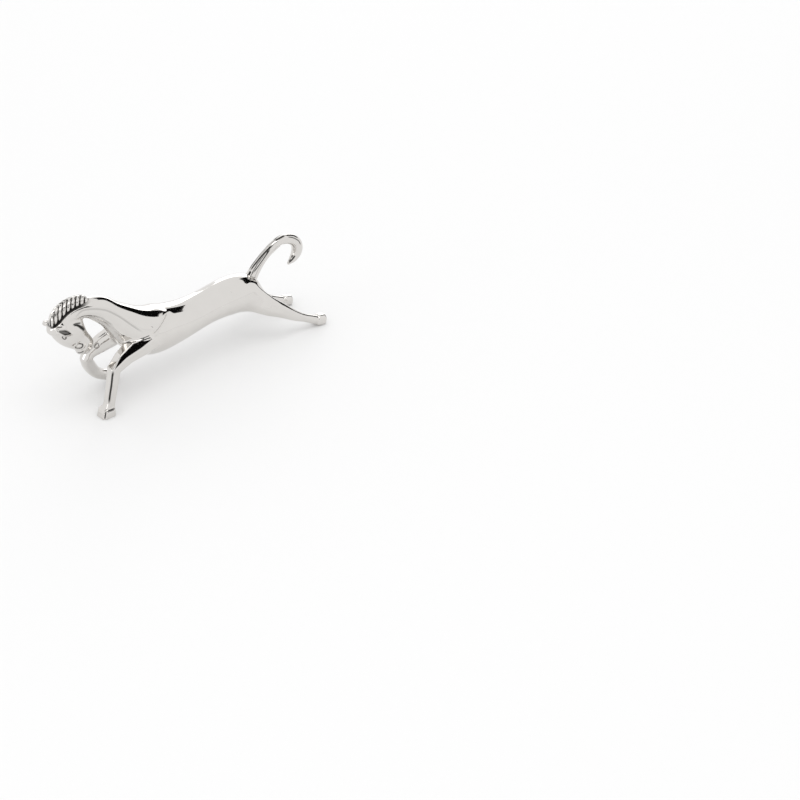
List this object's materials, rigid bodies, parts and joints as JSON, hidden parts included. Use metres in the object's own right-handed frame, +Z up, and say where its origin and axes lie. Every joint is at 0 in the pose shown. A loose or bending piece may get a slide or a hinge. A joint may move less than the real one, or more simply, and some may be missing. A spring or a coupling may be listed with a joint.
{
  "type": "knife rest",
  "caption": "Polished silver knife rest cast as a stretched horse with an arched neck; the dip of its back holds a knife's blade off the table.",
  "frame": {"origin": "on the table, under the middle of the figure's length and width", "axes": "+X from the head to the tail, +Y to the horse's right, +Z up from the table"},
  "size_m": [0.0892, 0.0182, 0.0355],
  "materials": {
    "silver": "mirror-polished silver plate"
  },
  "bodies": {
    "root": {"torso": "silver", "neck_and_head": "silver", "mane": "silver", "left_foreleg": "silver", "right_foreleg": "silver", "left_hind_leg": "silver", "right_hind_leg": "silver", "tail": "silver"}
  },
  "joints": []
}
